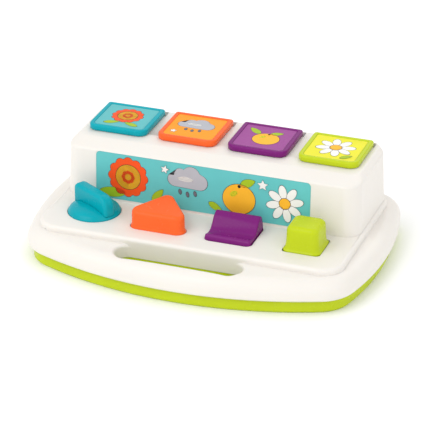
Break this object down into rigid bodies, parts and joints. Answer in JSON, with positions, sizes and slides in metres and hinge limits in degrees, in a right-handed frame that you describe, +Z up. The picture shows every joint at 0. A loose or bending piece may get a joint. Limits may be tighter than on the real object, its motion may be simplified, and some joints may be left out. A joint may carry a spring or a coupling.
{
  "type": "pop up animal toy",
  "caption": "Low toddler toy with a grip handle, a deck of turn, push and tip controls, and a console whose hinged lids flip up with a small figure under each.",
  "frame": {"origin": "middle of the toy's bounding box, on the surface that it stands on", "axes": "+X to the right along the row of lids, +Y from the grip handle to the back, +Z up"},
  "size_m": [0.3384, 0.234, 0.1003],
  "materials": {
    "white_plastic": "smooth satin moulding",
    "lime_plastic": "smooth glossy moulding",
    "teal_plastic": "smooth glossy moulding",
    "orange_plastic": "smooth glossy moulding",
    "purple_plastic": "smooth glossy moulding",
    "printed_card_aqua": "printed film",
    "printed_card_teal": "printed film",
    "printed_card_orange": "printed film",
    "printed_card_purple": "printed film",
    "printed_card_yellow": "printed film",
    "figure_yellow": "smooth moulding",
    "figure_grey": "smooth moulding",
    "figure_green": "smooth moulding",
    "steel": "drawn wire and turned pins"
  },
  "bodies": {
    "housing": {"top_housing": "white_plastic", "base_plate": "lime_plastic", "front_label": "printed_card_aqua", "base_screws": "steel", "catch_shaft": "steel", "lid_hinge_pins": "steel", "rocker_pin": "steel", "triangle_spring": "steel", "cube_spring": "steel"},
    "lid_teal_group": {"lid_teal": "teal_plastic", "lid_picture_teal": "printed_card_teal", "figure_cat": "figure_yellow"},
    "lid_orange_group": {"lid_orange": "orange_plastic", "lid_picture_orange": "printed_card_orange", "figure_rabbit": "figure_grey"},
    "lid_purple_group": {"lid_purple": "purple_plastic", "lid_picture_purple": "printed_card_purple", "figure_mouse": "figure_grey"},
    "lid_lime_group": {"lid_lime": "lime_plastic", "lid_picture_lime": "printed_card_yellow", "figure_frog": "figure_green"},
    "dial": {"dial_knob": "teal_plastic", "dial_cam": "white_plastic", "dial_cam_screw": "steel"},
    "triangle": {"triangle_button": "orange_plastic"},
    "rocker": {"rocker_key": "purple_plastic"},
    "cube": {"cube_button": "lime_plastic"},
    "catch_teal": {"catch_lever_teal": "white_plastic"},
    "catch_orange": {"catch_lever_orange": "white_plastic"},
    "catch_purple": {"catch_lever_purple": "white_plastic"},
    "catch_lime": {"catch_lever_lime": "white_plastic"}
  },
  "joints": [
    {"name": "lid_teal_hinge", "type": "hinge", "parent": "housing", "child": "lid_teal_group", "pos_m": [-0.105, 0.0758, 0.09], "axis": [-1, 0, 0], "range_deg": [0, 95]},
    {"name": "lid_orange_hinge", "type": "hinge", "parent": "housing", "child": "lid_orange_group", "pos_m": [-0.035, 0.0758, 0.09], "axis": [-1, 0, 0], "range_deg": [0, 95]},
    {"name": "lid_purple_hinge", "type": "hinge", "parent": "housing", "child": "lid_purple_group", "pos_m": [0.035, 0.0758, 0.09], "axis": [-1, 0, 0], "range_deg": [0, 95]},
    {"name": "lid_lime_hinge", "type": "hinge", "parent": "housing", "child": "lid_lime_group", "pos_m": [0.105, 0.0758, 0.09], "axis": [-1, 0, 0], "range_deg": [0, 95]},
    {"name": "dial_turn", "type": "hinge", "parent": "housing", "child": "dial", "pos_m": [-0.105, -0.0331, 0.0394], "axis": [0, 0, 1], "range_deg": [0, 45], "stiffness_Nm_per_rad": 0.03},
    {"name": "triangle_push", "type": "slide", "parent": "housing", "child": "triangle", "axis": [0, 0, -1], "range_m": [0, 0.005], "stiffness_N_per_m": 400, "deforming": ["triangle_spring"]},
    {"name": "rocker_tip", "type": "hinge", "parent": "housing", "child": "rocker", "pos_m": [0.035, -0.019, 0.0329], "axis": [1, 0, 0], "range_deg": [0, 7.5], "stiffness_Nm_per_rad": 0.6},
    {"name": "cube_push", "type": "slide", "parent": "housing", "child": "cube", "axis": [0, 0, -1], "range_m": [0, 0.005], "stiffness_N_per_m": 400, "deforming": ["cube_spring"]},
    {"name": "catch_teal_tip", "type": "hinge", "parent": "housing", "child": "catch_teal", "pos_m": [-0.105, 0.011, 0.056], "axis": [1, 0, 0], "range_deg": [0, 4.72]},
    {"name": "catch_orange_tip", "type": "hinge", "parent": "housing", "child": "catch_orange", "pos_m": [-0.035, 0.011, 0.056], "axis": [1, 0, 0], "range_deg": [0, 4.72]},
    {"name": "catch_purple_tip", "type": "hinge", "parent": "housing", "child": "catch_purple", "pos_m": [0.035, 0.011, 0.056], "axis": [1, 0, 0], "range_deg": [0, 4.72]},
    {"name": "catch_lime_tip", "type": "hinge", "parent": "housing", "child": "catch_lime", "pos_m": [0.105, 0.011, 0.056], "axis": [1, 0, 0], "range_deg": [0, 4.72]}
  ],
  "couplings": [
    {"joint": "catch_teal_tip", "follows": "dial_turn", "ratio": 0.1044},
    {"joint": "catch_orange_tip", "follows": "triangle_push", "rad_per_m": 16.4},
    {"joint": "catch_purple_tip", "follows": "rocker_tip", "ratio": 0.6266},
    {"joint": "catch_lime_tip", "follows": "cube_push", "rad_per_m": 16.4}
  ]
}
